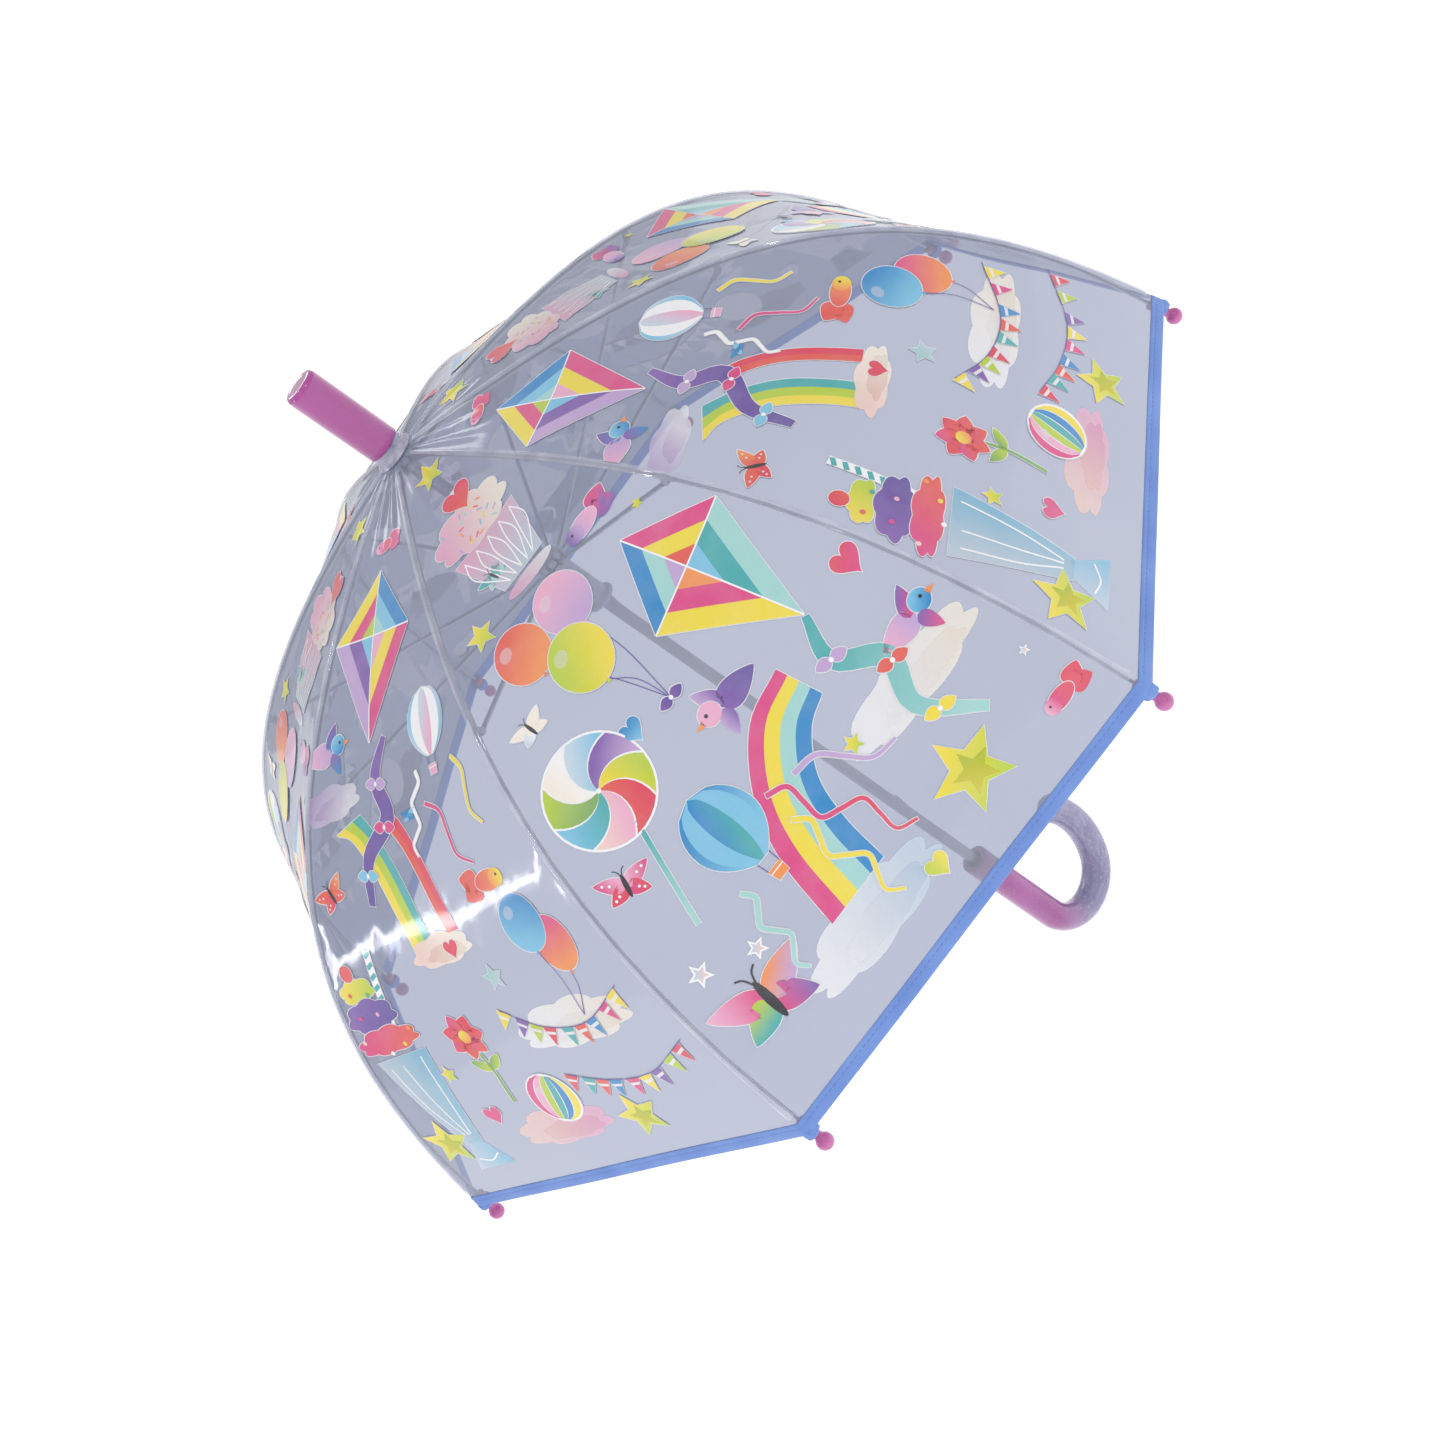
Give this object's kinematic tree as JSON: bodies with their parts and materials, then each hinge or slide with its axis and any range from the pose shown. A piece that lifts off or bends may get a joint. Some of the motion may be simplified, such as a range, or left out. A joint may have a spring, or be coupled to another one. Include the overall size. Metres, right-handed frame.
{
  "type": "children's umbrella",
  "caption": "See-through dome umbrella for a child: steel shaft and folding ribs, printed clear film canopy, bound hem and crook handle.",
  "frame": {"origin": "on the shaft axis, in the middle of the handle's straight grip", "axes": "+Z along the shaft towards the ferrule, +X towards the open side of the crook and rib 1"},
  "size_m": [0.706, 0.706, 0.7028],
  "materials": {
    "steel": "bright plated steel",
    "orchid": "glossy orchid plastic",
    "handle_plastic": "glossy translucent plastic, orchid fading to clear with glitter",
    "tip_pink": "semi-gloss pink plastic",
    "film": "clear soft vinyl film with printed motifs",
    "hem_blue": "woven periwinkle bias tape",
    "clear": "clear vinyl",
    "nylon": "grey moulded nylon"
  },
  "bodies": {
    "shaft": {"shaft_tube": "steel", "crown_notch": "nylon", "crown_wire": "steel", "runner_stop": "steel", "ferrule": "orchid", "canopy_washer": "clear", "handle": "handle_plastic"},
    "runner": {"runner": "nylon", "runner_wire": "steel"},
    "top_catch": {"top_catch": "steel"},
    "bottom_catch": {"bottom_catch": "steel"},
    "rib_upper_1": {"rib_upper_1": "steel", "canopy_panel_1": "film"},
    "rib_lower_1": {"rib_lower_1": "steel", "tip_cover_1": "tip_pink", "hem_tape_1": "hem_blue"},
    "stretcher_1": {"stretcher_1": "steel"},
    "rib_upper_2": {"rib_upper_2": "steel", "canopy_panel_2": "film"},
    "rib_lower_2": {"rib_lower_2": "steel", "tip_cover_2": "tip_pink", "hem_tape_2": "hem_blue"},
    "stretcher_2": {"stretcher_2": "steel"},
    "rib_upper_3": {"rib_upper_3": "steel", "canopy_panel_3": "film"},
    "rib_lower_3": {"rib_lower_3": "steel", "tip_cover_3": "tip_pink", "hem_tape_3": "hem_blue"},
    "stretcher_3": {"stretcher_3": "steel"},
    "rib_upper_4": {"rib_upper_4": "steel", "canopy_panel_4": "film"},
    "rib_lower_4": {"rib_lower_4": "steel", "tip_cover_4": "tip_pink", "hem_tape_4": "hem_blue"},
    "stretcher_4": {"stretcher_4": "steel"},
    "rib_upper_5": {"rib_upper_5": "steel", "canopy_panel_5": "film"},
    "rib_lower_5": {"rib_lower_5": "steel", "tip_cover_5": "tip_pink", "hem_tape_5": "hem_blue"},
    "stretcher_5": {"stretcher_5": "steel"},
    "rib_upper_6": {"rib_upper_6": "steel", "canopy_panel_6": "film"},
    "rib_lower_6": {"rib_lower_6": "steel", "tip_cover_6": "tip_pink", "hem_tape_6": "hem_blue"},
    "stretcher_6": {"stretcher_6": "steel"},
    "rib_upper_7": {"rib_upper_7": "steel", "canopy_panel_7": "film"},
    "rib_lower_7": {"rib_lower_7": "steel", "tip_cover_7": "tip_pink", "hem_tape_7": "hem_blue"},
    "stretcher_7": {"stretcher_7": "steel"},
    "rib_upper_8": {"rib_upper_8": "steel", "canopy_panel_8": "film"},
    "rib_lower_8": {"rib_lower_8": "steel", "tip_cover_8": "tip_pink", "hem_tape_8": "hem_blue"},
    "stretcher_8": {"stretcher_8": "steel"}
  },
  "joints": [
    {"name": "open_close", "type": "hinge", "parent": "shaft", "child": "rib_upper_1", "pos_m": [0.007, 0, 0.5445], "axis": [0, 1, 0], "range_deg": [0, 72], "deforming": ["canopy_panel_1", "canopy_panel_2", "canopy_panel_3", "canopy_panel_4", "canopy_panel_5", "canopy_panel_6", "canopy_panel_7", "canopy_panel_8", "hem_tape_1", "hem_tape_2", "hem_tape_3", "hem_tape_4", "hem_tape_5", "hem_tape_6", "hem_tape_7", "hem_tape_8"]},
    {"name": "rib_hinge_2", "type": "hinge", "parent": "shaft", "child": "rib_upper_2", "pos_m": [0.00495, 0.00495, 0.5445], "axis": [-0.7071, 0.7071, 0], "range_deg": [0, 72]},
    {"name": "rib_hinge_3", "type": "hinge", "parent": "shaft", "child": "rib_upper_3", "pos_m": [0, 0.007, 0.5445], "axis": [-1, 0, 0], "range_deg": [0, 72]},
    {"name": "rib_hinge_4", "type": "hinge", "parent": "shaft", "child": "rib_upper_4", "pos_m": [-0.00495, 0.00495, 0.5445], "axis": [-0.7071, -0.7071, 0], "range_deg": [0, 72]},
    {"name": "rib_hinge_5", "type": "hinge", "parent": "shaft", "child": "rib_upper_5", "pos_m": [-0.007, 0, 0.5445], "axis": [0, -1, 0], "range_deg": [0, 72]},
    {"name": "rib_hinge_6", "type": "hinge", "parent": "shaft", "child": "rib_upper_6", "pos_m": [-0.00495, -0.00495, 0.5445], "axis": [0.7071, -0.7071, 0], "range_deg": [0, 72]},
    {"name": "rib_hinge_7", "type": "hinge", "parent": "shaft", "child": "rib_upper_7", "pos_m": [0, -0.007, 0.5445], "axis": [1, 0, 0], "range_deg": [0, 72]},
    {"name": "rib_hinge_8", "type": "hinge", "parent": "shaft", "child": "rib_upper_8", "pos_m": [0.00495, -0.00495, 0.5445], "axis": [0.7071, 0.7071, 0], "range_deg": [0, 72]},
    {"name": "rib_flex_1", "type": "hinge", "parent": "rib_upper_1", "child": "rib_lower_1", "pos_m": [0.20566, 0, 0.49105], "axis": [0, 1, 0], "range_deg": [-36.79, 0]},
    {"name": "rib_flex_2", "type": "hinge", "parent": "rib_upper_2", "child": "rib_lower_2", "pos_m": [0.14542, 0.14542, 0.49105], "axis": [-0.7071, 0.7071, 0], "range_deg": [-36.79, 0]},
    {"name": "rib_flex_3", "type": "hinge", "parent": "rib_upper_3", "child": "rib_lower_3", "pos_m": [0, 0.20566, 0.49105], "axis": [-1, 0, 0], "range_deg": [-36.79, 0]},
    {"name": "rib_flex_4", "type": "hinge", "parent": "rib_upper_4", "child": "rib_lower_4", "pos_m": [-0.14542, 0.14542, 0.49105], "axis": [-0.7071, -0.7071, 0], "range_deg": [-36.79, 0]},
    {"name": "rib_flex_5", "type": "hinge", "parent": "rib_upper_5", "child": "rib_lower_5", "pos_m": [-0.20566, 0, 0.49105], "axis": [0, -1, 0], "range_deg": [-36.79, 0]},
    {"name": "rib_flex_6", "type": "hinge", "parent": "rib_upper_6", "child": "rib_lower_6", "pos_m": [-0.14542, -0.14542, 0.49105], "axis": [0.7071, -0.7071, 0], "range_deg": [-36.79, 0]},
    {"name": "rib_flex_7", "type": "hinge", "parent": "rib_upper_7", "child": "rib_lower_7", "pos_m": [0, -0.20566, 0.49105], "axis": [1, 0, 0], "range_deg": [-36.79, 0]},
    {"name": "rib_flex_8", "type": "hinge", "parent": "rib_upper_8", "child": "rib_lower_8", "pos_m": [0.14542, -0.14542, 0.49105], "axis": [0.7071, 0.7071, 0], "range_deg": [-36.79, 0]},
    {"name": "stretcher_hinge_1", "type": "hinge", "parent": "rib_upper_1", "child": "stretcher_1", "pos_m": [0.19848, 0, 0.49046], "axis": [0, 1, 0], "range_deg": [-144, 0]},
    {"name": "stretcher_hinge_2", "type": "hinge", "parent": "rib_upper_2", "child": "stretcher_2", "pos_m": [0.14035, 0.14035, 0.49046], "axis": [-0.7071, 0.7071, 0], "range_deg": [-144, 0]},
    {"name": "stretcher_hinge_3", "type": "hinge", "parent": "rib_upper_3", "child": "stretcher_3", "pos_m": [0, 0.19848, 0.49046], "axis": [-1, 0, 0], "range_deg": [-144, 0]},
    {"name": "stretcher_hinge_4", "type": "hinge", "parent": "rib_upper_4", "child": "stretcher_4", "pos_m": [-0.14035, 0.14035, 0.49046], "axis": [-0.7071, -0.7071, 0], "range_deg": [-144, 0]},
    {"name": "stretcher_hinge_5", "type": "hinge", "parent": "rib_upper_5", "child": "stretcher_5", "pos_m": [-0.19848, 0, 0.49046], "axis": [0, -1, 0], "range_deg": [-144, 0]},
    {"name": "stretcher_hinge_6", "type": "hinge", "parent": "rib_upper_6", "child": "stretcher_6", "pos_m": [-0.14035, -0.14035, 0.49046], "axis": [0.7071, -0.7071, 0], "range_deg": [-144, 0]},
    {"name": "stretcher_hinge_7", "type": "hinge", "parent": "rib_upper_7", "child": "stretcher_7", "pos_m": [0, -0.19848, 0.49046], "axis": [1, 0, 0], "range_deg": [-144, 0]},
    {"name": "stretcher_hinge_8", "type": "hinge", "parent": "rib_upper_8", "child": "stretcher_8", "pos_m": [0.14035, -0.14035, 0.49046], "axis": [0.7071, 0.7071, 0], "range_deg": [-144, 0]},
    {"name": "runner_pivot", "type": "hinge", "parent": "stretcher_1", "child": "runner", "pos_m": [0.007, 0, 0.43641], "axis": [0, 1, 0], "range_deg": [0, 72]},
    {"name": "top_catch_press", "type": "slide", "parent": "shaft", "child": "top_catch", "axis": [-0.9239, -0.3827, 0], "range_m": [0, 0.0021], "stiffness_N_per_m": 400, "springref_m": -0.001},
    {"name": "bottom_catch_press", "type": "slide", "parent": "shaft", "child": "bottom_catch", "axis": [-0.9239, -0.3827, 0], "range_m": [0, 0.0021], "stiffness_N_per_m": 400, "springref_m": -0.001}
  ],
  "couplings": [
    {"joint": "rib_hinge_2", "follows": "open_close", "ratio": 1},
    {"joint": "rib_hinge_3", "follows": "open_close", "ratio": 1},
    {"joint": "rib_hinge_4", "follows": "open_close", "ratio": 1},
    {"joint": "rib_hinge_5", "follows": "open_close", "ratio": 1},
    {"joint": "rib_hinge_6", "follows": "open_close", "ratio": 1},
    {"joint": "rib_hinge_7", "follows": "open_close", "ratio": 1},
    {"joint": "rib_hinge_8", "follows": "open_close", "ratio": 1},
    {"joint": "rib_flex_1", "follows": "open_close", "ratio": -0.511},
    {"joint": "rib_flex_2", "follows": "open_close", "ratio": -0.511},
    {"joint": "rib_flex_3", "follows": "open_close", "ratio": -0.511},
    {"joint": "rib_flex_4", "follows": "open_close", "ratio": -0.511},
    {"joint": "rib_flex_5", "follows": "open_close", "ratio": -0.511},
    {"joint": "rib_flex_6", "follows": "open_close", "ratio": -0.511},
    {"joint": "rib_flex_7", "follows": "open_close", "ratio": -0.511},
    {"joint": "rib_flex_8", "follows": "open_close", "ratio": -0.511},
    {"joint": "stretcher_hinge_1", "follows": "open_close", "ratio": -2},
    {"joint": "stretcher_hinge_2", "follows": "open_close", "ratio": -2},
    {"joint": "stretcher_hinge_3", "follows": "open_close", "ratio": -2},
    {"joint": "stretcher_hinge_4", "follows": "open_close", "ratio": -2},
    {"joint": "stretcher_hinge_5", "follows": "open_close", "ratio": -2},
    {"joint": "stretcher_hinge_6", "follows": "open_close", "ratio": -2},
    {"joint": "stretcher_hinge_7", "follows": "open_close", "ratio": -2},
    {"joint": "stretcher_hinge_8", "follows": "open_close", "ratio": -2},
    {"joint": "runner_pivot", "follows": "open_close", "ratio": 1}
  ]
}
